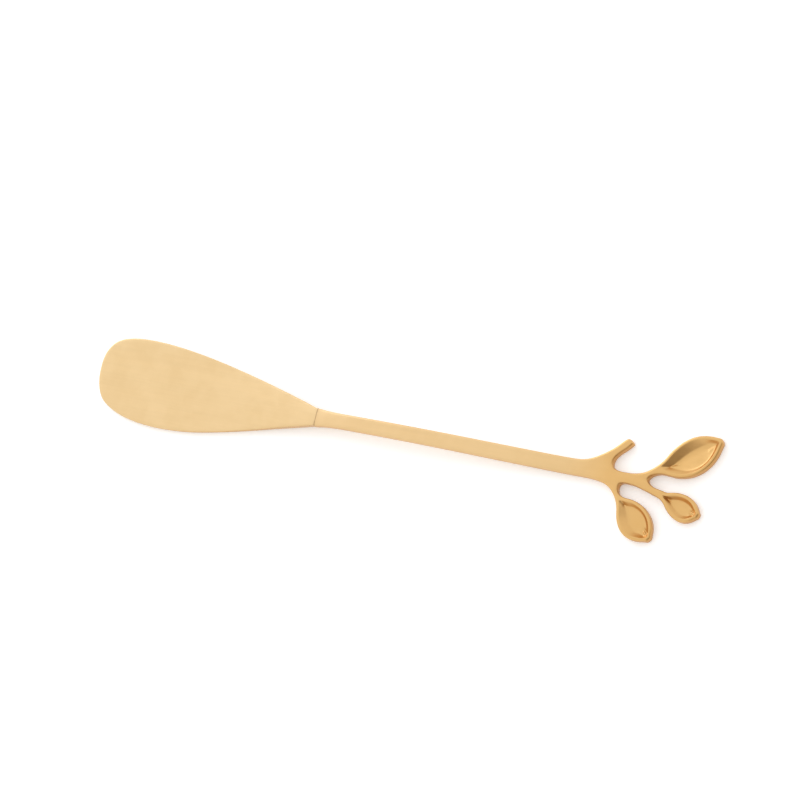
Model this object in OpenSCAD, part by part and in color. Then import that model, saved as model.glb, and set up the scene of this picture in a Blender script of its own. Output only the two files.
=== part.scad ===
// Leaf-handled spreader spoon in gold-coated stainless steel.
// A thin paddle blade is brazed by a hidden tang into a cast handle that ends as a twig
// with a cut stub and three dished leaves. Millimetres, +Z up, lying on its blade and leaves.
// +X runs along the handle towards the leaves. Y = 0 is the handle's centre line.

/* [Blade] */
// Length of the blade from its tip to the neck joint
blade_l = 56.3; // [40:0.1:80]
// How far the full side of the blade swells from the centre line
blade_full_w = 10.6; // [7:0.1:14]
// How far the lean side of the blade swells from the centre line
blade_lean_w = 9.1; // [6:0.1:13]
// Distance from the neck joint to the widest place of the full side
blade_full_at = 45; // [28:0.5:50]
// Distance from the neck joint to the widest place of the lean side
blade_lean_at = 37; // [24:0.5:46]
// Height of the blade's tip above the centre line
blade_tip_y = 2.4; // [-3:0.1:3]
// Sheet thickness at the tip
blade_tip_t = 1; // [0.8:0.1:2]
// Sheet thickness where the blade is flat
blade_mid_t = 1.3; // [0.8:0.1:2.2]

/* [Neck joint] */
// Width across the neck at the joint
neck_w = 4.1; // [3.6:0.1:6]
// Length of the hidden tang inside the handle
tang_l = 9; // [5:0.5:14]
// Width of the tang
tang_w = 1.7; // [1.2:0.1:2]
// Thickness of the tang
tang_t = 0.9; // [0.6:0.1:1.2]
// Braze gap round the tang and across the joint
braze_gap = 0.12; // [0.08:0.01:0.2]

/* [Handle bar] */
// Length from the neck joint to the first fork
bar_l = 70; // [50:0.5:110]
// Width of the bar at its narrowest place, just behind the neck
bar_w = 3.2; // [2.8:0.1:5]
// Width of the bar at the first fork
bar_end_w = 3.6; // [3:0.1:6]
// Length of the flare from the neck width down to the bar width
flare_l = 7; // [4:0.5:12]
// Thickness of the handle, the twigs and the leaves
handle_t = 2.2; // [1.8:0.1:3.5]
// Clearance under the middle of the bar
arch_h = 2; // [0.5:0.1:5]
// Distance from the neck joint to where the blade leaves the table
arch_lead = 20; // [10:0.5:24]

/* [Twig and stub] */
// Distance from the first fork to the second fork
twig_l = 8.3; // [6:0.1:14]
// Width of the twig between the forks
twig_w = 2.7; // [2.2:0.1:4]
// End of the cut stub, from the first fork
stub_end = [3.6, 7.9]; // [0:0.1:12]
// Width of the stub at its end
stub_w = 1.9; // [1.4:0.1:3]
// Width of each leaf's stem where it runs into the leaf: large, small and low
stem_w = [2.4, 2.1, 1.9]; // [1.6:0.1:3.2]
// Rounding in the crotches between branches
crotch_r = 0.6; // [0.3:0.1:1.2]
// Rounding of leaf tips and of the stub's end
tip_r = 0.6; // [0.3:0.1:0.8]

/* [Large leaf] */
// Foot of the large leaf, from the second fork
large_foot = [2.1, 2.9]; // [-6:0.1:6]
// Length of the large leaf
large_l = 16.2; // [12:0.1:22]
// Direction of the large leaf
large_a = 35; // [20:1:50]
// Swell of the large leaf on its upper and lower side
large_w = [3, 5]; // [2:0.1:7]

/* [Small leaf] */
// Foot of the small leaf, from the second fork
small_foot = [4.4, -2.2]; // [-6:0.1:8]
// Length of the small leaf
small_l = 10.2; // [8:0.1:16]
// Direction of the small leaf
small_a = -22; // [-32:1:-10]
// Swell of the small leaf on its upper and lower side
small_w = [2.9, 3.1]; // [2:0.1:4]

/* [Low leaf] */
// Foot of the low leaf, from the first fork
low_foot = [3.6, -4.5]; // [-8:0.1:6]
// Length of the low leaf
low_l = 12; // [9:0.1:17]
// Direction of the low leaf
low_a = -45; // [-60:1:-38]
// Swell of the low leaf on its upper and lower side
low_w = [3.3, 3.7]; // [2:0.1:5]

/* [Leaf dishes] */
// Width of the flat rim round each dish
rim_w = 0.8; // [0.5:0.1:1.2]
// Depth of each dish
dish_d = 0.9; // [0.4:0.1:1.4]
// Run of the sloping wall from the rim to the floor
dish_slope = 0.8; // [0.4:0.1:1.2]

/* [Hidden] */

STEPS = 14;           // straight pieces in each curve of an outline
FLARE_STEPS = 4;      // straight pieces in the flare behind the neck
STRIP = 5;            // longest straight strip along the arched bar
SPAN = 100;           // wider than any outline, for cutting plates to their side profile
CUT = 0.01;           // overrun of a cut past the face it opens, and a dish's thin end slices
TANG_ROOT = 1;        // how far the tang's root reaches back into the neck

// Character of the blade's outline
EASE = 1 / 3;         // how far the neck's direction carries along a side
SWELL_LEAD = 0.28;    // how long each side runs level ahead of its widest place
FULL_LIFT = 4;        // how soon the full side swells out of the neck
LEAN_LIFT = 2.1;      // how soon the lean side swells out of the neck
SHOULDER = 0.88;      // how squarely the sides turn in to the tip
FULL_TURN = 0.62;     // how squarely the tip turns up to the full side
LEAN_TURN = 0.5;      // how squarely the tip turns down to the lean side

// Character of the twigs and leaves: where each branch starts and bends, from its own fork
STUB_ROOT = [-8, 0.3];
STUB_BEND = [-2.6, 0.5];
LOW_ROOT = [-5, -0.4];
LOW_BEND = [0.9, -1.3];
LEAF_ROOT = [-3, 0];
LARGE_BEND = [0.2, 0.7];
SMALL_BEND = [0.8, -1.9];
STEM_IN = 1.2;        // how far a stem runs into its leaf
BELLY = 0.24;         // how soon a leaf swells from its foot and from its point
PEAK = 4 / 3;         // control height of a curve that peaks at height 1

// Everything is placed from the neck joint, which stands where the whole length is centred.
fork1 = [bar_l, 0];
fork2 = fork1 + [twig_l, 0];
large_at = fork2 + large_foot;
small_at = fork2 + small_foot;
low_at = fork1 + low_foot;
reach = large_at.x + large_l * cos(large_a);
neck_x = (blade_l - reach) / 2;

// Height of the underside above the table, x being measured from the neck joint.
arch_from = -arch_lead;
arch_to = fork1.x - bar_end_w;
function rise(x) =
    x <= arch_from || x >= arch_to ? 0
    : arch_h * pow(sin(180 * (x - arch_from) / (arch_to - arch_from)), 2);

// Sheet thickness of the blade: thin tip, flat middle, then swelling to the handle's own.
function blade_t(x) =
    x <= arch_from
    ? blade_tip_t + (blade_mid_t - blade_tip_t) * (x + blade_l) / (blade_l - arch_lead)
    : blade_mid_t + (handle_t - blade_mid_t) * (x - arch_from) / arch_lead;

// Curves of an outline: quadratic and cubic, and a unit vector square to a curve.
function quad(p, t) = (1 - t) * (1 - t) * p[0] + 2 * t * (1 - t) * p[1] + t * t * p[2];
function cubic(p, t) =
    pow(1 - t, 3) * p[0] + 3 * pow(1 - t, 2) * t * p[1]
    + 3 * (1 - t) * t * t * p[2] + pow(t, 3) * p[3];
function heading(p, t) = (1 - t) * (p[1] - p[0]) + t * (p[2] - p[1]);
function square_to(v) = [-v.y, v.x] / norm(v);
function curve(p) = [for (i = [0 : STEPS]) cubic(p, i / STEPS)];
function back(list) = [for (i = [len(list) - 1 : -1 : 0]) list[i]];

// Places where the side profile bends, between two stations along the part.
function stations(from, to) =
    let (n = ceil((to - from) / STRIP))
    [for (i = [0 : n]) from + (to - from) * i / n];

// A branch along a quadratic curve, tapering from width w0 to width w1.
module branch(p, w0, w1) {
    function side(s) = [for (i = [0 : STEPS])
        let (t = i / STEPS)
        quad(p, t) + s * (w0 + (w1 - w0) * t) / 2 * square_to(heading(p, t))];
    polygon(concat(side(1), back(side(-1))));
}

// A leaf that lies along +X from its foot at the origin to its point.
module leaf(l, swell) {
    function side(w) = curve([[0, 0], [l * BELLY, w], [l - l * BELLY, w], [l, 0]]);
    polygon(concat(side(swell[0] * PEAK), back(side(-swell[1] * PEAK))));
}

module at_leaf(foot, a) translate(foot) rotate(a) children();
function stem_end(foot, a) = foot + STEM_IN * [cos(a), sin(a)];

// One side of the blade: a long easy curve from the neck to the swell, then round the tip.
function blade_side(s, w, at, lift, turn) = concat(
    curve([
        [0, s * neck_w / 2], [-at * EASE, s * (neck_w / 2 + lift)],
        [at * (SWELL_LEAD - 1), s * w], [-at, s * w]]),
    curve([
        [-at, s * w], [-at - (blade_l - at) * SHOULDER, s * w],
        [-blade_l, blade_tip_y + (s * w - blade_tip_y) * turn], [-blade_l, blade_tip_y]]));

module blade_plan()
    polygon(concat(
        blade_side(1, blade_full_w, blade_full_at, FULL_LIFT, FULL_TURN),
        back(blade_side(-1, blade_lean_w, blade_lean_at, LEAN_LIFT, LEAN_TURN))));

module bar_plan() {
    flare = [[0, neck_w / 2], [flare_l * EASE, bar_w / 2], [flare_l, bar_w / 2]];
    side = concat(
        [[-flare_l, neck_w / 2]],
        [for (i = [0 : FLARE_STEPS]) quad(flare, i / FLARE_STEPS)],
        [[fork1.x, bar_end_w / 2]]);
    polygon(concat(side, [for (p = back(side)) [p.x, -p.y]]));
}

// Outline of the handle with its twigs, stub and leaves, crotches and points rounded.
module handle_plan() {
    offset(r = -crotch_r, $fn = 24) offset(delta = crotch_r)
    offset(r = tip_r, $fn = 24) offset(delta = -tip_r) {
        bar_plan();
        branch([fork1 - [twig_w, 0], (fork1 + fork2) / 2, fork2], twig_w, twig_w);
        branch([fork1 + STUB_ROOT, fork1 + STUB_BEND, fork1 + stub_end], bar_w, stub_w);
        branch([fork2 + LEAF_ROOT, fork2 + LARGE_BEND, stem_end(large_at, large_a)],
            twig_w, stem_w[0]);
        branch([fork2 + LEAF_ROOT, fork2 + SMALL_BEND, stem_end(small_at, small_a)],
            stem_w[1], stem_w[1]);
        branch([fork1 + LOW_ROOT, fork1 + LOW_BEND, stem_end(low_at, low_a)],
            twig_w, stem_w[2]);
        at_leaf(large_at, large_a) leaf(large_l, large_w);
        at_leaf(small_at, small_a) leaf(small_l, small_w);
        at_leaf(low_at, low_a) leaf(low_l, low_w);
    }
}

// A plate of the outline given as a child, bent to the side profile between low and high.
module bent_plate(xs, low, high) {
    intersection() {
        linear_extrude(arch_h + handle_t + CUT) children();
        translate([0, SPAN / 2, 0]) rotate([90, 0, 0]) linear_extrude(SPAN)
            polygon(concat(
                [for (i = [0 : len(xs) - 1]) [xs[i], low[i]]],
                [for (i = [len(xs) - 1 : -1 : 0]) [xs[i], high[i]]]));
    }
}

// The flat tongue that joins blade and handle, grown by a clearance on every side.
module tongue(from, to, clear) {
    xs = stations(from, to);
    middle = [for (x = xs) rise(x) + handle_t / 2];
    half = tang_t / 2 + clear;
    bent_plate(xs, [for (z = middle) z - half], [for (z = middle) z + half])
        translate([from, -tang_w / 2 - clear]) square([to - from, tang_w + 2 * clear]);
}

module tang() tongue(-TANG_ROOT, tang_l, 0);

// Room for the tang and its braze, open at the handle's end face.
module socket() tongue(-braze_gap / 2, tang_l + braze_gap, braze_gap);

// The dish of one leaf: sloping walls between the rim's edge and a flat floor.
module dish(l, swell) {
    hull() {
        translate([0, 0, handle_t]) linear_extrude(CUT)
            offset(delta = -rim_w) leaf(l, swell);
        translate([0, 0, handle_t - dish_d]) linear_extrude(CUT)
            offset(delta = -rim_w - dish_slope) leaf(l, swell);
    }
}

// Stamped paddle blade with its tang, one piece of sheet thickened towards the neck.
module blade() {
    xs = concat([-blade_l - CUT], stations(arch_from, -braze_gap / 2));
    color([0.93, 0.81, 0.61]) translate([neck_x, 0, 0]) {
        bent_plate(xs, [for (x = xs) rise(x)], [for (x = xs) rise(x) + blade_t(x)])
            blade_plan();
        tang();
    }
}

// Braze metal: a thin layer across the joint and a sleeve round the tang.
module tang_braze() {
    xs = [-braze_gap / 2, braze_gap / 2];
    color([0.85, 0.72, 0.5]) translate([neck_x, 0, 0]) difference() {
        union() {
            bent_plate(xs, [for (x = xs) rise(x)], [for (x = xs) rise(x) + handle_t])
                translate([xs[0], -neck_w / 2]) square([braze_gap, neck_w]);
            socket();
        }
        tang();
    }
}

// Cast handle: arched bar, forked twig, cut stub and three dished leaves.
module branch_handle() {
    xs = concat(stations(braze_gap / 2, arch_to), [reach + tip_r]);
    color([0.92, 0.77, 0.52]) translate([neck_x, 0, 0]) difference() {
        bent_plate(xs, [for (x = xs) rise(x)], [for (x = xs) rise(x) + handle_t])
            handle_plan();
        socket();
        at_leaf(large_at, large_a) dish(large_l, large_w);
        at_leaf(small_at, small_a) dish(small_l, small_w);
        at_leaf(low_at, low_a) dish(low_l, low_w);
    }
}

blade();
tang_braze();
branch_handle();
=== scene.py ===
"""Leaf-handled spreader spoon in gold-coloured metal, lying on a pale table.

The file follows the spoon as it is put together: camera, table and light first, then the
stamped blade, the braze that joins it, and the cast handle with its twigs and leaves.
Lengths are in metres and angles in radians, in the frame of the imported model.
"""

import math

import bpy
from mathutils import Matrix, Vector


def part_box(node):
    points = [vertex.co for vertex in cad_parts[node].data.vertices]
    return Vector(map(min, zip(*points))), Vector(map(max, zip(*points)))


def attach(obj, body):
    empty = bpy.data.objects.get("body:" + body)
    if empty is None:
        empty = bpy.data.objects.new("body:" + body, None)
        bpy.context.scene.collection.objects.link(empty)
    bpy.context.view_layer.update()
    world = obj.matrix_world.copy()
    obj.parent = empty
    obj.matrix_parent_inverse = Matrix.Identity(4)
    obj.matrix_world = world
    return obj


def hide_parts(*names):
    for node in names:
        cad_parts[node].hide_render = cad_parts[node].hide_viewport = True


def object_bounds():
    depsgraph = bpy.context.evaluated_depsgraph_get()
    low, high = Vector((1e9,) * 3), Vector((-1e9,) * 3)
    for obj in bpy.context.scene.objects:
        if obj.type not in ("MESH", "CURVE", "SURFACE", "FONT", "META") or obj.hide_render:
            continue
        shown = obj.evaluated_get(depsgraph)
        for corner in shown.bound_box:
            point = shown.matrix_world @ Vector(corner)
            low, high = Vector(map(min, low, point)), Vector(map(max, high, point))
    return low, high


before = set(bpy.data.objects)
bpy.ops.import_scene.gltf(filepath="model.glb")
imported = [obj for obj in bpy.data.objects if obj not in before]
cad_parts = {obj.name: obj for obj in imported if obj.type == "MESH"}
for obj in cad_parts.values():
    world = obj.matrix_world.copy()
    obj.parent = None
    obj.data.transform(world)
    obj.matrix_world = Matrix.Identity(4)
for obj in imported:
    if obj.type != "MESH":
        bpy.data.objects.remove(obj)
cad_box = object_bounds()
bpy.ops.object.select_all(action="DESELECT")

# ---------------------------------------------------------------------------------------
# Camera: a long lens well above the table, turned so that the spoon runs across the
# view from the blade at the upper left to the leaves at the lower right.
# ---------------------------------------------------------------------------------------
mm = 0.001
spoon_low, spoon_high = Vector(cad_box[0]), Vector(cad_box[1])
spoon_middle = (spoon_low + spoon_high) / 2

aim_back = 0.78 * mm
aim_aside = 8 * mm
aim_height = 1 * mm
aim = Vector((spoon_middle.x - aim_back, spoon_middle.y + aim_aside, aim_height))
camera_turn = math.radians(69.09)
camera_height = math.radians(65.64)
camera_roll = math.radians(-56.61)
camera_distance = 0.8448
camera_lens = 171.42

camera_turned = (
    Matrix.Rotation(camera_turn, 3, "Z")
    @ Matrix.Rotation(math.pi / 2 - camera_height, 3, "X")
    @ Matrix.Rotation(camera_roll, 3, "Z")
)
bpy.ops.object.camera_add(
    location=aim + camera_turned @ Vector((0, 0, camera_distance)),
    rotation=camera_turned.to_euler(),
)
camera = bpy.context.object
camera.name = "camera"
camera.data.lens = camera_lens
camera.data.sensor_width = 36
camera.data.clip_start = 0.05
camera.data.clip_end = 20
bpy.context.scene.camera = camera
bpy.context.scene.view_settings.view_transform = "Standard"

# ---------------------------------------------------------------------------------------
# Table and light: a smooth pale board that glows a little, under a bright white tent. The tent
# is open beyond the leaf end, so that what faces that way mirrors a darker, warmer room.
# ---------------------------------------------------------------------------------------
table_size = 2.4
table_gap = 0.01 * mm
board_glow = 0.24

bpy.ops.mesh.primitive_plane_add(size=table_size, location=(0, 0, 0))
table = bpy.context.object
table.name = "table"
bpy.ops.object.mode_set(mode="EDIT")
bpy.ops.transform.translate(value=(0, 0, -table_gap))
bpy.ops.object.mode_set(mode="OBJECT")

pale = bpy.data.materials.new("pale_board")
pale.use_nodes = True
board = pale.node_tree.nodes["Principled BSDF"]
board.inputs["Roughness"].default_value = 0.8
board.inputs["Specular IOR Level"].default_value = 0.1
board_spots = pale.node_tree.nodes.new("ShaderNodeTexNoise")
board_spots.inputs["Scale"].default_value = 6
board_tone = pale.node_tree.nodes.new("ShaderNodeValToRGB")
board_tone.color_ramp.elements[0].color = (0.95, 0.95, 0.95, 1)
board_tone.color_ramp.elements[1].color = (0.98, 0.98, 0.98, 1)
pale.node_tree.links.new(board_spots.outputs["Fac"], board_tone.inputs["Fac"])
pale.node_tree.links.new(board_tone.outputs["Color"], board.inputs["Base Color"])
board.inputs["Emission Color"].default_value = (1, 1, 1, 1)
board.inputs["Emission Strength"].default_value = board_glow
table.data.materials.append(pale)

tent_bright = 1.12
room_dark = 0.34
room_tint = (1, 0.78, 0.56, 1)
opening_way = Vector((0.72, -0.36, 0.4)).normalized()
opening_rim, opening_heart = 0.55, 0.97

world = bpy.data.worlds.new("tent")
bpy.context.scene.world = world
world.use_nodes = True
tent = world.node_tree
tent_way = tent.nodes.new("ShaderNodeTexCoord")
tent_dot = tent.nodes.new("ShaderNodeVectorMath")
tent_dot.operation = "DOT_PRODUCT"
tent_dot.inputs[1].default_value = opening_way
tent_fade = tent.nodes.new("ShaderNodeMapRange")
tent_fade.interpolation_type = "SMOOTHSTEP"
tent_fade.inputs["From Min"].default_value = opening_rim
tent_fade.inputs["From Max"].default_value = opening_heart
tent_fade.inputs["To Min"].default_value = tent_bright
tent_fade.inputs["To Max"].default_value = room_dark
tent.links.new(tent_way.outputs["Generated"], tent_dot.inputs[0])
tent.links.new(tent_dot.outputs["Value"], tent_fade.inputs["Value"])
tent.links.new(tent_fade.outputs["Result"], tent.nodes["Background"].inputs["Strength"])
tent_tint = tent.nodes.new("ShaderNodeMix")
tent_tint.data_type = "RGBA"
tent_tint.inputs[6].default_value = room_tint
tent_tint.inputs[7].default_value = (1, 1, 1, 1)
tent.links.new(tent_fade.outputs["Result"], tent_tint.inputs["Factor"])
tent.links.new(tent_tint.outputs[2], tent.nodes["Background"].inputs["Color"])

bpy.ops.object.light_add(type="AREA", location=(-0.9, 0.56, 0.36))
key_light = bpy.context.object
key_light.name = "key_light"
key_light.data.size = 0.8
key_light.data.energy = 4.5
key_light.data.color = (0.66, 0.76, 1)
key_light.rotation_euler = (
    (key_light.location - spoon_middle).to_track_quat("Z", "Y").to_euler()
)

# ---------------------------------------------------------------------------------------
# Blade: a paddle stamped from stainless sheet, 1 mm thick at its tip and as thick as the
# handle at its neck, gilded and satin polished lengthwise. A flat tang behind the neck
# runs into the handle.
# ---------------------------------------------------------------------------------------
# Places this close belong to one row; places this close are the same point.
close = 0.1 * mm
same = 0.001 * mm
seam = 0.12 * mm
neck_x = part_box("tang_braze")[0][0] + seam / 2
neck_width = 4.1 * mm
handle_thick = 2.2 * mm
arch_height = 2 * mm
arch_start = -20 * mm
arch_end = 66.4 * mm
strips_across = 4


def rise(along):
    """Height of the spoon's underside over the table, by distance from the neck."""
    if not arch_start < along < arch_end:
        return 0.0
    return arch_height * math.sin(math.pi * (along - arch_start) / (arch_end - arch_start)) ** 2


def pick(piece, kind, test):
    """Selects the vertices, or the faces, that pass the test, and leaves edit mode on."""
    bpy.context.view_layer.objects.active = piece
    bpy.ops.object.mode_set(mode="EDIT")
    bpy.ops.mesh.select_mode(type=kind)
    bpy.ops.mesh.select_all(action="DESELECT")
    bpy.ops.object.mode_set(mode="OBJECT")
    if kind == "VERT":
        for point in piece.data.vertices:
            point.select = test(point.co)
    else:
        for face in piece.data.polygons:
            face.select = test(face.center, face.normal)
    bpy.ops.object.mode_set(mode="EDIT")


def start_strip(name, along, width, first, across):
    """A flat sheet that starts at a row of points across the spoon, ready to be drawn out.

    The row at `along` from the neck stays; the next row lies `first` away from it.
    """
    bpy.ops.object.select_all(action="DESELECT")
    bpy.ops.mesh.primitive_grid_add(x_subdivisions=1, y_subdivisions=across, size=1)
    piece = bpy.context.object
    piece.name = name
    bpy.ops.object.mode_set(mode="EDIT")
    bpy.ops.transform.resize(value=(abs(first), width, 1))
    bpy.ops.transform.translate(value=(neck_x + along + first / 2, 0, rise(along)))
    return piece


def draw_out(spot, stations):
    """Extrudes the selected row from station to station.

    spot and each station are (along, aside, heading, width): the row's middle measured
    from the neck, the way it faces, and how wide it is. Turns about Z count clockwise.
    """
    for along, aside, heading, width in stations:
        was_along, was_aside, was_heading, was_width = spot
        middle = Vector((neck_x + along, aside, rise(along)))
        before = Vector((neck_x + was_along, was_aside, rise(was_along)))
        bpy.ops.mesh.extrude_edges_move(TRANSFORM_OT_translate={"value": middle - before})
        bpy.ops.transform.rotate(
            value=was_heading - heading, orient_axis="Z", center_override=middle
        )
        size = width / was_width
        bpy.ops.transform.resize(value=(size, size, 1), center_override=middle)
        spot = (along, aside, heading, width)


def thicken(piece, height):
    """Turns the flat sheet into a closed plate of that height."""
    bpy.ops.object.mode_set(mode="EDIT")
    bpy.ops.mesh.select_mode(type="FACE")
    bpy.ops.mesh.select_all(action="SELECT")
    bpy.ops.mesh.extrude_region_move(TRANSFORM_OT_translate={"value": (0, 0, height)})
    bpy.ops.mesh.select_all(action="SELECT")
    bpy.ops.mesh.normals_make_consistent(inside=False)


def ease_arris(piece, side, radius, drop):
    """Rounds the edge all round the top (side 1) or the underside (side -1).

    The edge across the neck stays sharp. drop first lowers the outline, to crown the face.
    """
    pick(piece, "FACE", lambda place, way: way.z * side > 0.7)
    bpy.ops.mesh.region_to_loop()
    bpy.ops.object.mode_set(mode="OBJECT")
    points = piece.data.vertices
    for edge in piece.data.edges:
        one, other = (points[i].co for i in edge.vertices)
        at_neck = abs(one.x - neck_x) < close and abs(other.x - neck_x) < close
        if at_neck and abs(one.y - other.y) > close:
            edge.select = False
    bpy.ops.object.mode_set(mode="EDIT")
    if drop:
        bpy.ops.transform.translate(value=(0, 0, -side * drop))
    bpy.ops.mesh.bevel(offset=radius, segments=2, affect="EDGES", loop_slide=False)


def square_off(piece):
    """Keeps the edges of the face at the neck joint sharp, so that the pieces meet flush."""
    joint_x = [point.co.x for point in piece.data.vertices if abs(point.co.x - neck_x) < seam]
    for end in sorted({round(x, 6) for x in joint_x}):
        pick(piece, "FACE", lambda place, way: abs(place.x - end) < same and abs(way.x) > 0.97)
        bpy.ops.mesh.region_to_loop()
        bpy.ops.transform.edge_crease(value=1)


def finish_mesh(piece, levels):
    """Smooths the plate and leaves it ready, with its place in its mesh."""
    bpy.ops.object.mode_set(mode="OBJECT")
    smoother = piece.modifiers.new("smooth", "SUBSURF")
    smoother.levels = levels
    smoother.render_levels = levels
    bpy.ops.object.modifier_apply(modifier=smoother.name)
    bpy.ops.object.shade_smooth()


blade_length = 56.3 * mm
blade_end = -seam / 2
tip_thick = 1.0 * mm
mid_thick = 1.3 * mm
blade_arris = 0.28 * mm
low_arris_share = 0.7

# How far the full side and the lean side stand out, by distance from the neck.
blade_sides = [
    (0.6, 2.1, 2.1), (2.5, 2.68, 2.5), (6, 3.64, 3.26), (11, 4.95, 4.42), (17, 6.42, 5.9),
    (24, 7.98, 7.45), (31, 9.3, 8.75), (38, 10.25, 9.16), (44, 10.66, 8.8),
    (49, 10.5, 7.75), (52.4, 9.75, 6.1),
]
# Round of the tip, from the full side to the lean side: distance from the neck, and aside.
tip_step = 2
blade_tip = [(54.75, 8.3), (56.2, 5.5), (56.35, 2.3), (56.0, -1.2), (54.45, -4.6)]

first_back = blade_sides[0][0]
first_step = -first_back * mm - blade_end
blade = start_strip("paddle_blade", blade_end, neck_width, first_step, strips_across)
row_x = neck_x - first_back * mm
pick(blade, "VERT", lambda place: place.x < row_x + close)
blade_rows = [
    (-back * mm, (full - lean) / 2 * mm, 0.0, (full + lean) * mm)
    for back, full, lean in blade_sides
]
draw_out((-first_back * mm, 0.0, 0.0, neck_width), blade_rows[1:])
last_back, last_full, last_lean = blade_sides[-1]
bpy.ops.mesh.extrude_edges_move(TRANSFORM_OT_translate={"value": (-tip_step * mm, 0, 0)})
for number, (back, aside) in enumerate(blade_tip):
    was_aside = last_full - (last_full + last_lean) * number / strips_across
    was = Vector((neck_x - (last_back + tip_step) * mm, was_aside * mm, 0))
    pick(blade, "VERT", lambda place: (place - was).length < close)
    bpy.ops.transform.translate(value=Vector((neck_x - back * mm, aside * mm, 0)) - was)

thicken(blade, tip_thick)


def blade_thick(along):
    """Thickness of the blade, by distance from the neck: it grows faster near the neck."""
    if along < arch_start:
        part = (along + blade_length) / (blade_length + arch_start)
        return tip_thick + (mid_thick - tip_thick) * part
    return mid_thick + (handle_thick - mid_thick) * (along - arch_start) / -arch_start


for back in [-blade_end / mm] + [row[0] for row in blade_sides]:
    row_x = neck_x - back * mm
    low = rise(-back * mm) + tip_thick / 2
    pick(blade, "VERT", lambda place: abs(place.x - row_x) < close and place.z > low)
    bpy.ops.transform.translate(value=(0, 0, blade_thick(-back * mm) - tip_thick))

ease_arris(blade, 1, blade_arris, 0)
ease_arris(blade, -1, blade_arris * low_arris_share, 0)

tang_length = 9 * mm
tang_width = 1.7 * mm
tang_thick = 0.9 * mm
tang_hem = 0.04 * mm
tang_end = 0.12 * mm


def draw_tongue(piece, side, border, clear, length):
    """Draws the tang, or a sleeve or socket round it, out of the face at the neck joint.

    side is the way that face looks (1 towards the handle), border the first step in from
    the face's edge, and clear how much larger than the tang it is on every side.
    """
    pick(
        piece,
        "FACE",
        lambda place, way: way.x * side > 0.97 and abs(place.x - neck_x) < close,
    )
    bpy.ops.mesh.inset(thickness=border)
    bpy.ops.object.mode_set(mode="OBJECT")
    picked = [point.co.copy() for point in piece.data.vertices if point.select]
    lows = [min(place[axis] for place in picked) for axis in range(3)]
    highs = [max(place[axis] for place in picked) for axis in range(3)]
    bpy.ops.object.mode_set(mode="EDIT")
    middle = (Vector(lows) + Vector(highs)) / 2
    wider = (tang_width + 2 * clear) / (highs[1] - lows[1])
    thicker = (tang_thick + 2 * clear) / (highs[2] - lows[2])
    bpy.ops.transform.resize(value=(1, wider, thicker), center_override=middle)
    bpy.ops.transform.translate(value=(0, 0, rise(0) + handle_thick / 2 - middle.z))
    bpy.ops.mesh.inset(thickness=tang_hem)
    for start, stop in ((0, 0.5), (0.5, 0.94), (0.94, 1)):
        climb = rise(length * stop) - rise(length * start)
        bpy.ops.mesh.extrude_region_move(
            TRANSFORM_OT_translate={"value": (length * (stop - start), 0, climb)}
        )
    bpy.ops.mesh.inset(thickness=tang_end)


tang_border = 0.3 * mm
square_off(blade)
draw_tongue(blade, 1, tang_border, 0, tang_length)
finish_mesh(blade, 3)


def put(tree, kind, sockets=(), **settings):
    """Adds a shader node with its settings, and links or sets its sockets by name."""
    node = tree.nodes.new("ShaderNode" + kind)
    for name, value in settings.items():
        setattr(node, name, value)
    for name, value in dict(sockets).items():
        if isinstance(value, bpy.types.NodeSocket):
            tree.links.new(value, node.inputs[name])
        else:
            node.inputs[name].default_value = value
    return node


def new_group(name, ins, outs):
    """A node group with named inputs and outputs: its tree, and their sockets inside it."""
    tree = bpy.data.node_groups.new(name, "ShaderNodeTree")
    for title, kind, value in ins:
        socket = tree.interface.new_socket(title, in_out="INPUT", socket_type="NodeSocket" + kind)
        if value is not None:
            socket.default_value = value
    for title, kind in outs:
        tree.interface.new_socket(title, in_out="OUTPUT", socket_type="NodeSocket" + kind)
    return tree, tree.nodes.new("NodeGroupInput").outputs, tree.nodes.new("NodeGroupOutput").inputs


# Polishing grain: fine lines drawn along the spoon, in two widths.
grain_tree, grain_in, grain_out = new_group(
    "polish_grain",
    (("Place", "Vector", None), ("Lines per metre", "Float", 2600), ("Stretch", "Float", 0.03)),
    (("Lines", "Float"),),
)
stretch = put(grain_tree, "CombineXYZ", {"X": grain_in["Stretch"], "Y": 1.0, "Z": 1.0})
drawn = put(
    grain_tree, "VectorMath", {0: grain_in["Place"], 1: stretch.outputs[0]}, operation="MULTIPLY"
)
fine_lines = put(
    grain_tree,
    "TexNoise",
    {"Vector": drawn.outputs[0], "Scale": grain_in["Lines per metre"], "Detail": 3.0},
)
wide_scale = put(
    grain_tree, "Math", {0: grain_in["Lines per metre"], 1: 0.22}, operation="MULTIPLY"
)
wide_lines = put(
    grain_tree,
    "TexNoise",
    {"Vector": drawn.outputs[0], "Scale": wide_scale.outputs[0], "Detail": 2.0},
)
both_lines = put(
    grain_tree,
    "Mix",
    {"Factor": 0.4, 2: fine_lines.outputs["Fac"], 3: wide_lines.outputs["Fac"]},
    data_type="FLOAT",
)
grain_tree.links.new(both_lines.outputs[0], grain_out["Lines"])

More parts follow.
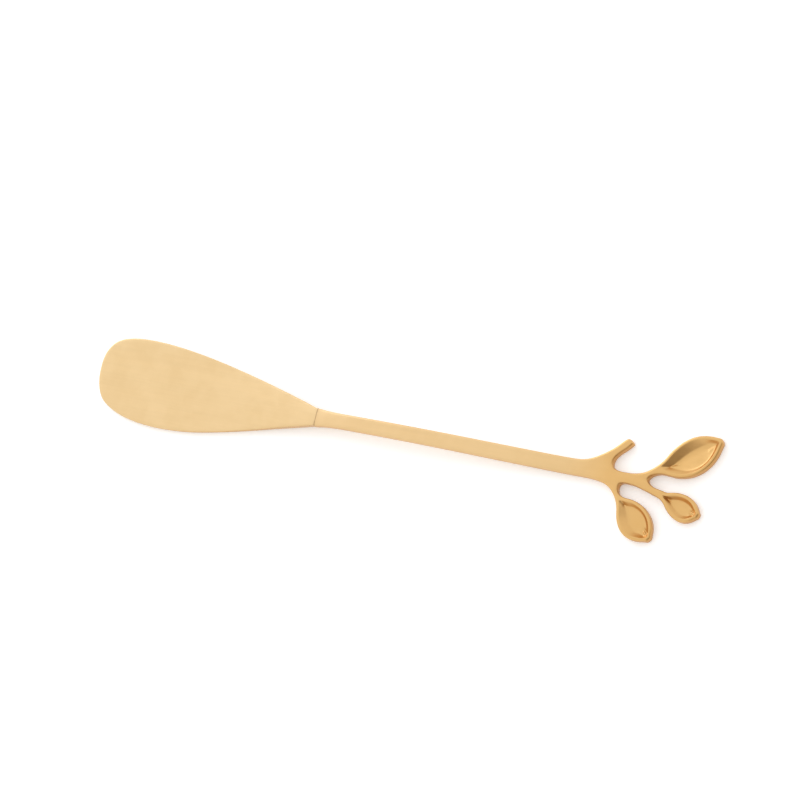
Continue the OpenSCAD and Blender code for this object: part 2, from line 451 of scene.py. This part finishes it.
# Uneven gilding: broad soft patches, with smaller ones over them.
patch_tree, patch_in, patch_out = new_group(
    "gilding_patches",
    (("Place", "Vector", None), ("Patches per metre", "Float", 60)),
    (("Patches", "Float"),),
)
broad = put(
    patch_tree,
    "TexNoise",
    {"Vector": patch_in["Place"], "Scale": patch_in["Patches per metre"], "Detail": 3.0},
)
small_scale = put(
    patch_tree, "Math", {0: patch_in["Patches per metre"], 1: 7.0}, operation="MULTIPLY"
)
small = put(
    patch_tree,
    "TexNoise",
    {"Vector": patch_in["Place"], "Scale": small_scale.outputs[0], "Detail": 4.0},
)
patches = put(
    patch_tree,
    "Mix",
    {"Factor": 0.3, 2: broad.outputs["Fac"], 3: small.outputs["Fac"]},
    data_type="FLOAT",
)
patch_spread = put(
    patch_tree,
    "MapRange",
    {"Value": patches.outputs[0], "From Min": 0.34, "From Max": 0.66},
    interpolation_type="SMOOTHSTEP",
)
patch_tree.links.new(patch_spread.outputs["Result"], patch_out["Patches"])

# Handling wear: arrises that lean away from the flat are rubbed, more in some places.
rub_tree, rub_in, rub_out = new_group(
    "rubbed_arris",
    (("Place", "Vector", None), ("Facing", "Vector", None), ("Reach", "Float", 0.5)),
    (("Rubbed", "Float"),),
)
facing = put(rub_tree, "SeparateXYZ", {"Vector": rub_in["Facing"]})
flatness = put(rub_tree, "Math", {0: facing.outputs["Z"]}, operation="ABSOLUTE")
lean = put(
    rub_tree,
    "MapRange",
    {"Value": flatness.outputs[0], "From Min": 0.985, "From Max": rub_in["Reach"]},
    interpolation_type="SMOOTHSTEP",
)
rub_spots = put(rub_tree, "TexNoise", {"Vector": rub_in["Place"], "Scale": 420.0, "Detail": 3.0})
rub_share = put(
    rub_tree,
    "MapRange",
    {"Value": rub_spots.outputs["Fac"], "From Min": 0.35, "From Max": 0.6, "To Min": 0.45},
)
rubbed = put(
    rub_tree,
    "Math",
    {0: lean.outputs["Result"], 1: rub_share.outputs["Result"]},
    operation="MULTIPLY",
)
rub_tree.links.new(rubbed.outputs[0], rub_out["Rubbed"])

# Fine scratches from use: short thin lines at two slants.
scratch_tree, scratch_in, scratch_out = new_group(
    "fine_scratches",
    (("Place", "Vector", None), ("Amount", "Float", 0.5)),
    (("Scratches", "Float"),),
)
scratch_parts = []
for slant, spacing in ((0.35, 1500.0), (-0.8, 1150.0)):
    slanted = put(
        scratch_tree,
        "Mapping",
        {"Vector": scratch_in["Place"], "Rotation": (0, 0, slant), "Scale": (0.045, 1, 1)},
    )
    streaks = put(
        scratch_tree,
        "TexNoise",
        {"Vector": slanted.outputs[0], "Scale": spacing, "Detail": 1.0},
    )
    thin = put(
        scratch_tree,
        "MapRange",
        {"Value": streaks.outputs["Fac"], "From Min": 0.66, "From Max": 0.74},
    )
    scratch_parts.append(thin.outputs["Result"])
scratched = put(
    scratch_tree, "Math", {0: scratch_parts[0], 1: scratch_parts[1]}, operation="MAXIMUM"
)
scratch_amount = put(
    scratch_tree, "Math", {0: scratched.outputs[0], 1: scratch_in["Amount"]}, operation="MULTIPLY"
)
scratch_tree.links.new(scratch_amount.outputs[0], scratch_out["Scratches"])


thin_gilding = (0.955, 0.935, 0.90, 1)
rubbed_tint = (0.98, 0.95, 0.96, 1)
# Painted shade: the darker, browner colour given to the side walls.
painted_wall_shade_tint = (0.88, 0.76, 0.56, 1)
plain = (1, 1, 1, 1)
grain_depth = 0.004 * mm
grain_strength = 0.5
scratch_share = 0.5


def gilded(name, tones, rough):
    """Gold-coloured metal: patchy gilding, polishing grain, rubbed arrises and scratches.

    tones are (place along the spoon, colour): the colour runs darker and deeper towards the
    leaves.
    The walls at the sides are painted darker and browner: painted shade for the shadowed table
    they mirror.
    """
    finish = bpy.data.materials.new(name)
    finish.use_nodes = True
    tree = finish.node_tree
    metal = tree.nodes["Principled BSDF"]
    metal.inputs["Metallic"].default_value = 1.0
    where = put(tree, "TexCoord")
    place, facing_way = where.outputs["Object"], where.outputs["Normal"]

    def use(group, sockets):
        """Puts one of the node groups above into the material."""
        return put(tree, "Group", {"Place": place, **sockets}, node_tree=group).outputs[0]

    lines = use(grain_tree, {})
    gilding = use(patch_tree, {})
    rubbed_edge = use(rub_tree, {"Facing": facing_way})
    marks = use(scratch_tree, {"Amount": scratch_share})

    along = put(tree, "SeparateXYZ", {"Vector": place})
    share = put(
        tree,
        "MapRange",
        {"Value": along.outputs["X"], "From Min": spoon_low.x, "From Max": spoon_high.x},
    )
    run = put(tree, "ValToRGB", {"Fac": share.outputs["Result"]})
    ramp = run.color_ramp.elements
    for number, (spot, colour) in enumerate(tones):
        position = (spot - spoon_low.x) / (spoon_high.x - spoon_low.x)
        stop = ramp[number] if number < 2 else ramp.new(position)
        stop.position = position
        stop.color = (*colour, 1)
    deeper = put(
        tree,
        "Mix",
        {"Factor": 1.0, 6: run.outputs["Color"], 7: thin_gilding},
        data_type="RGBA",
        blend_type="MULTIPLY",
    )
    tone = put(
        tree,
        "Mix",
        {"Factor": gilding, 6: deeper.outputs[2], 7: run.outputs["Color"]},
        data_type="RGBA",
    )
    lined = put(
        tree,
        "MapRange",
        {"Value": lines, "From Min": 0.3, "From Max": 0.7, "To Min": 0.98, "To Max": 1.02},
    )
    drawn_tone = put(
        tree,
        "VectorMath",
        {0: tone.outputs[2], "Scale": lined.outputs["Result"]},
        operation="SCALE",
    )
    edge_tone = put(
        tree,
        "Mix",
        {"Factor": rubbed_edge, 6: plain, 7: rubbed_tint},
        data_type="RGBA",
    )
    # Painted shade: walls that face sideways are tinted darker and browner, in place of the dark
    # shadowed table they would mirror.
    side = put(tree, "SeparateXYZ", {"Vector": facing_way})
    side_up = put(tree, "Math", {0: side.outputs["Z"]}, operation="ABSOLUTE")
    painted_wall_shade_mask = put(
        tree,
        "MapRange",
        {"Value": side_up.outputs[0], "From Min": 0.62, "From Max": 0.15},
        interpolation_type="SMOOTHSTEP",
    )
    painted_wall_shade_tone = put(
        tree,
        "Mix",
        {"Factor": painted_wall_shade_mask.outputs["Result"], 6: edge_tone.outputs[2], 7: painted_wall_shade_tint},
        data_type="RGBA",
    )
    gold_tone = put(
        tree,
        "Mix",
        {"Factor": 1.0, 6: drawn_tone.outputs[0], 7: painted_wall_shade_tone.outputs[2]},
        data_type="RGBA",
        blend_type="MULTIPLY",
    )
    tree.links.new(gold_tone.outputs[2], metal.inputs["Base Color"])

    worn_rough = put(
        tree,
        "MapRange",
        {"Value": gilding, "To Min": rough - 0.03, "To Max": rough + 0.04},
    )
    line_rough = put(
        tree,
        "MapRange",
        {"Value": lines, "From Min": 0.3, "From Max": 0.7, "To Min": -0.04, "To Max": 0.04},
    )
    rough_sum = put(
        tree,
        "Math",
        {0: worn_rough.outputs["Result"], 1: line_rough.outputs["Result"]},
        operation="ADD",
    )
    rough_rub = put(
        tree,
        "Math",
        {0: rubbed_edge, 1: -0.07, 2: rough_sum.outputs[0]},
        operation="MULTIPLY_ADD",
    )
    rough_marks = put(
        tree, "Math", {0: marks, 1: 0.12, 2: rough_rub.outputs[0]}, operation="MULTIPLY_ADD"
    )
    tree.links.new(rough_marks.outputs[0], metal.inputs["Roughness"])

    relief = put(tree, "Math", {0: marks, 1: -0.6, 2: lines}, operation="MULTIPLY_ADD")
    skin = put(
        tree,
        "Bump",
        {"Strength": grain_strength, "Distance": grain_depth, "Height": relief.outputs[0]},
    )
    tree.links.new(skin.outputs[0], metal.inputs["Normal"])
    return finish


blade_gold = gilded(
    "blade_gold",
    tones=((spoon_low.x, (0.768, 0.556, 0.296)), (neck_x, (0.762, 0.55, 0.292))),
    rough=0.34,
)
blade.data.materials.clear()
blade.data.materials.append(blade_gold)
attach(blade, "root")
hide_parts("blade")

# ---------------------------------------------------------------------------------------
# Braze: gold-coloured filler that joins blade and handle. It shows as a hairline across
# the neck, and inside the handle it forms a thin sleeve round the tang.
# ---------------------------------------------------------------------------------------
braze = start_strip("neck_braze", -seam / 2, neck_width, seam, strips_across)
thicken(braze, handle_thick)
ease_arris(braze, 1, blade_arris, 0)
ease_arris(braze, -1, blade_arris * low_arris_share, 0)
square_off(braze)
braze_border = 0.2 * mm
draw_tongue(braze, 1, braze_border, seam, tang_length + seam / 2)
draw_tongue(braze, -1, braze_border, 0, tang_length)
finish_mesh(braze, 2)

braze_tone = (0.62, 0.44, 0.24)
braze_gold = gilded(
    "braze_gold",
    tones=((neck_x, braze_tone), (neck_x + tang_length, braze_tone)),
    rough=0.42,
)
braze.data.materials.clear()
braze.data.materials.append(braze_gold)
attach(braze, "root")
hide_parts("tang_braze")

# ---------------------------------------------------------------------------------------
# Handle: one investment casting. A slim arched bar flares at the neck and forks into
# twigs: a stub cut short, and three stems that each end in a dished leaf.
# ---------------------------------------------------------------------------------------
bar_length = 70 * mm
bar_width = 3.4 * mm
bar_end_width = 3.65 * mm
bar_aside = 0.06 * mm
flare_length = 7 * mm
flare_power = 2.4
fork_one = bar_length
fork_two = bar_length + 8.3 * mm


def bar_row(along):
    """Station of the bar: it narrows behind the neck and widens slowly to the fork."""
    if along < flare_length:
        part = 1 - along / flare_length
        width = bar_width + (neck_width - bar_width) * part**flare_power
    else:
        part = (along - flare_length) / (bar_length - flare_length)
        width = bar_width + (bar_end_width - bar_width) * part
    aside = bar_aside * min(1, along / flare_length)
    return (along, aside, 0.0, width)


first_row = 0.6 * mm
handle = start_strip("cast_handle", seam / 2, neck_width, first_row, 2)
row_x = neck_x + seam / 2 + first_row
pick(handle, "VERT", lambda place: place.x > row_x - close)
bar_rows = [bar_row(along * mm) for along in (1.6, 3.2, 5.4, 9)]
bar_rows += [bar_row((14.5 + 5.9 * step) * mm) for step in range(8)]
draw_out((seam / 2 + first_row, 0.0, 0.0, neck_width), bar_rows)


def row_between(left, right):
    """Station of a row given by its two ends in millimetres, left and right of its way."""
    across = (Vector(left) - Vector(right)) * mm
    middle = (Vector(left) + Vector(right)) / 2 * mm
    return (middle.x, middle.y, math.atan2(-across.x, across.y), across.length)


# The bar slants its rows through the first fork, so that the stub can leave its upper side
# and the low twig its lower side; then it goes on as the twig to the second fork.
fork_rows = [
    row_between((61.1, 1.92), (61.6, -1.75)),
    row_between((64.2, 2.05), (66.6, -1.62)),
    row_between((67.2, 1.85), (69.4, -1.62)),
    row_between((70.35, 1.55), (72.75, -1.9)),
    row_between((71.9, 1.0), (73.35, -1.4)),
    row_between((74.0, 1.0), (74.7, -1.4)),
    row_between((76.1, 1.15), (76.3, -1.55)),
    row_between((77.45, 0.8), (77.35, -1.8)),
    row_between((78.75, 0.1), (78.35, -2.1)),
]
draw_out(bar_rows[-1], fork_rows)

# Each leaf: its foot, how it lies, its length, how wide its stem comes in, and its two
# sides. A side swells out by the first number; the other two say how far along it is full.
# All are in millimetres from the neck, or shares of the length.
large_leaf = (
    (80.5, 2.7), math.radians(35.3), 16, 1.65, ((3.45, 0.42, 0.72), (4.75, 0.25, 0.72)),
)
small_leaf = (
    (82.4, -2.3), math.radians(-17.6), 10.05, 1.9, ((2.65, 0.36, 0.8), (3.35, 0.42, 0.85)),
)
low_leaf = (
    (73.3, -4.8), math.radians(-40.5), 12, 1.5, ((3.45, 0.25, 0.8), (4.02, 0.38, 0.76)),
)
leaf_parts = (0.1, 0.19, 0.29, 0.42, 0.55, 0.67, 0.77, 0.855)
point_half = 0.5
point_narrow = 0.66
blunt = 0.45 * mm


def leaf_row(leaf, part):
    """Station of a leaf at a part of its length: two long curves that swell unevenly."""
    foot, lie, length, stem, sides = leaf
    rest = 1 - part
    way = Vector((math.cos(lie), math.sin(lie)))
    out = Vector((-way.y, way.x))
    ends = []
    for swell, near, far in sides:
        along = length * (3 * near * rest**2 * part + 3 * far * rest * part**2 + part**3)
        ends.append(Vector(foot) + way * along + out * 4 * swell * part * rest)
        out = -out
    return row_between(*ends)


def leaf_rows(leaf):
    """Stations of a whole leaf, from its stem to its blunt point."""
    foot, lie, length, stem, sides = leaf
    rows = [(foot[0] * mm, foot[1] * mm, lie, stem * mm)]
    rows += [leaf_row(leaf, part) for part in leaf_parts]
    near_point = 1 - point_half / (sides[0][0] + sides[1][0])
    along, aside, heading, width = leaf_row(leaf, near_point)
    rows.append((along, aside, heading, width))
    end = Vector((along, aside)) + Vector((math.cos(lie), math.sin(lie))) * blunt
    rows.append((end.x, end.y, lie, width * point_narrow))
    return rows


# Small leaf: the twig runs straight on into it.
draw_out(
    fork_rows[-1],
    [
        row_between((80.1, -0.9), (79.7, -2.45)),
        row_between((81.35, -1.25), (81.0, -2.88)),
    ]
    + leaf_rows(small_leaf),
)


def row_end(row, side):
    """Where a row ends on the left (1) or the right (-1) of its way, in plan."""
    along, aside, heading, width = row
    reach = side * width / 2
    return Vector((neck_x + along - reach * math.sin(heading), aside + reach * math.cos(heading)))


def pick_side(piece, rows, side):
    """Selects the ends of three rows, and returns them as the start of a branch."""
    ends = [row_end(row, side) for row in rows]
    pick(piece, "VERT", lambda place: any((place.xy - end).length < close for end in ends))
    span = (ends[-1] - ends[0]) * side
    middle = (ends[0] + ends[-1]) / 2
    heading = math.atan2(span.y, span.x) + math.pi / 2
    if heading > math.pi:
        heading -= 2 * math.pi
    return (middle.x - neck_x, middle.y, heading, span.length)


# Large leaf: its stem leaves the upper side at the second fork.
draw_out(
    pick_side(handle, fork_rows[-3:], 1),
    [row_between((78.1, 1.85), (79.3, 1.2))] + leaf_rows(large_leaf),
)
# Stub: a twig cut short, off the upper side at the first fork.
draw_out(
    pick_side(handle, fork_rows[1:4], 1),
    [
        row_between((67.2, 3.75), (70.2, 3.2)),
        row_between((69.6, 5.5), (71.2, 4.65)),
        row_between((71.3, 7.3), (72.85, 6.1)),
        row_between((72.17, 8.25), (73.6, 7.07)),
        row_between((72.89, 8.42), (74.0, 7.48)),
    ],
)
# Low leaf: its stem leaves the lower side at the first fork.
draw_out(
    pick_side(handle, fork_rows[1:4], -1),
    [
        row_between((72.75, -2.6), (69.9, -2.3)),
        row_between((72.9, -3.6), (71.6, -3.7)),
    ]
    + leaf_rows(low_leaf),
)

thicken(handle, handle_thick)
handle_arris = 0.42 * mm
under_arris = 0.336 * mm
crown = 0.03 * mm
ease_arris(handle, 1, handle_arris, crown)
ease_arris(handle, -1, under_arris, 0)
# The underside is ground flat where the arch comes down.
pick(handle, "VERT", lambda place: place.z < 0)
bpy.ops.transform.resize(value=(1, 1, 0), center_override=(0, 0, 0))

rim_width = 0.72 * mm
rim_hem = 0.07 * mm
rim_drop = 0.05 * mm
wall_hem = 0.02 * mm
top_band = 0.08 * mm
# Walls down to the floor's foot, and the floor: how much narrower and shorter each step is,
# and its share of the depth.
dish_steps = ((0.68, 0.82, 0.72), (0.9, 0.94, 0.08), (0.7, 0.75, 0.12))


def sink_dish(piece, leaf, depth, floor_shift, floor_tilt, stem_shift):
    """Sinks the dish of one leaf into its top, inside a rim.

    floor_shift moves the floor and floor_tilt tips it about the leaf's midrib, so that one
    wall is deep and the other shallow; stem_shift moves the dish's point at the stem.
    """
    foot, lie, length, stem, sides = leaf
    foot = Vector((neck_x + foot[0] * mm, foot[1] * mm, 0))
    reach = max(side[0] for side in sides) * mm
    to_leaf = Matrix.Rotation(-lie, 3, "Z")
    rows = [to_leaf @ (Vector((neck_x + row[0], row[1], 0)) - foot) for row in leaf_rows(leaf)]
    start, stop = rows[0].x, rows[-2].x
    sideways = (to_leaf @ Vector((*floor_shift, 0))).y
    across = to_leaf.inverted() @ Vector((0, sideways, 0))

    def on_leaf(place):
        """Whether a place is inside the leaf, between its foot and its point."""
        spot = to_leaf @ (place - foot)
        return start < spot.x < stop and abs(spot.y) < reach

    def off_centre(place):
        """How far along the leaf a place is, from 0 at its middle to 1 at either end."""
        return abs((to_leaf @ (place - foot)).x - (start + stop) / 2) / ((stop - start) / 2)

    def end_rows():
        """Places of the three selected points at the stem, and of the three at the point."""
        bpy.ops.object.mode_set(mode="OBJECT")
        picked = [point.co.copy() for point in piece.data.vertices if point.select]
        picked.sort(key=lambda place: (to_leaf @ place).x)
        bpy.ops.object.mode_set(mode="EDIT")
        return [picked[:3], picked[-3:]]

    flat = handle_thick - top_band
    pick(piece, "FACE", lambda place, way: place.z > flat and on_leaf(place))
    bpy.ops.mesh.inset(thickness=rim_width - handle_arris)
    creases = end_rows()
    bpy.ops.mesh.inset(thickness=rim_hem, depth=-rim_drop)
    creases += end_rows()
    middle = (creases[0][1] + creases[1][1]) / 2
    for number, (narrow, shorten, sink) in enumerate(dish_steps):
        bpy.ops.mesh.inset(thickness=wall_hem)
        # The leaf is turned to lie along X, its step is made, and it is turned back.
        bpy.ops.transform.rotate(value=lie, orient_axis="Z", center_override=middle)
        bpy.ops.transform.resize(value=(shorten, narrow, 1), center_override=middle)
        if number == 0:
            bpy.ops.transform.rotate(
                value=floor_tilt, orient_axis="X", center_override=middle
            )
        bpy.ops.transform.rotate(value=-lie, orient_axis="Z", center_override=middle)
        shift = floor_shift if number == 0 else Vector((0, 0))
        bpy.ops.transform.translate(value=(*shift, -sink * depth))
        middle += Vector((*shift, 0))
        if number == 0:
            creases += end_rows()

    # The walls meet in a sharp crease at the stem and at the leaf's point.
    for number, row in enumerate(creases):
        pick(piece, "VERT", lambda place: any((place - end).length < same for end in row))
        bpy.ops.mesh.merge(type="CENTER")
        if number in (0, 2):
            bpy.ops.transform.translate(value=(*stem_shift, 0))

    # Towards its two ends, where the leaf is narrow, the floor comes back to the midrib.
    low, high = handle_thick / 4, handle_thick * 3 / 4
    for limit in (0.4, 0.56, 0.7):
        pick(
            piece,
            "VERT",
            lambda place: low < place.z < high and on_leaf(place) and off_centre(place) > limit,
        )
        bpy.ops.transform.translate(value=-across / 3)


sink_dish(
    handle,
    large_leaf,
    depth=1.1 * mm,
    floor_shift=Vector((0.8, -0.2)) * mm,
    floor_tilt=math.radians(7),
    stem_shift=Vector((0, 0.4)) * mm,
)
sink_dish(
    handle,
    small_leaf,
    depth=1 * mm,
    floor_shift=Vector((0.35, -0.1)) * mm,
    floor_tilt=math.radians(4),
    stem_shift=Vector((0, 0)),
)
sink_dish(
    handle,
    low_leaf,
    depth=1.05 * mm,
    floor_shift=Vector((0.45, 0.1)) * mm,
    floor_tilt=math.radians(-6),
    stem_shift=Vector((0, 0)),
)

# Socket for the tang and its braze, open at the handle's end.
socket_border = 0.25 * mm
square_off(handle)
draw_tongue(handle, -1, socket_border, seam, tang_length + seam)
finish_mesh(handle, 3)

handle_gold = gilded(
    "handle_gold",
    tones=(
        (neck_x, (0.778, 0.552, 0.290)),
        (neck_x + 60 * mm, (0.752, 0.520, 0.258)),
        (neck_x + fork_one, (0.712, 0.446, 0.178)),
        (neck_x + fork_two + 3 * mm, (0.700, 0.432, 0.166)),
    ),
    rough=0.36,
)
handle.data.materials.clear()
handle.data.materials.append(handle_gold)
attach(handle, "root")
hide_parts("branch_handle")
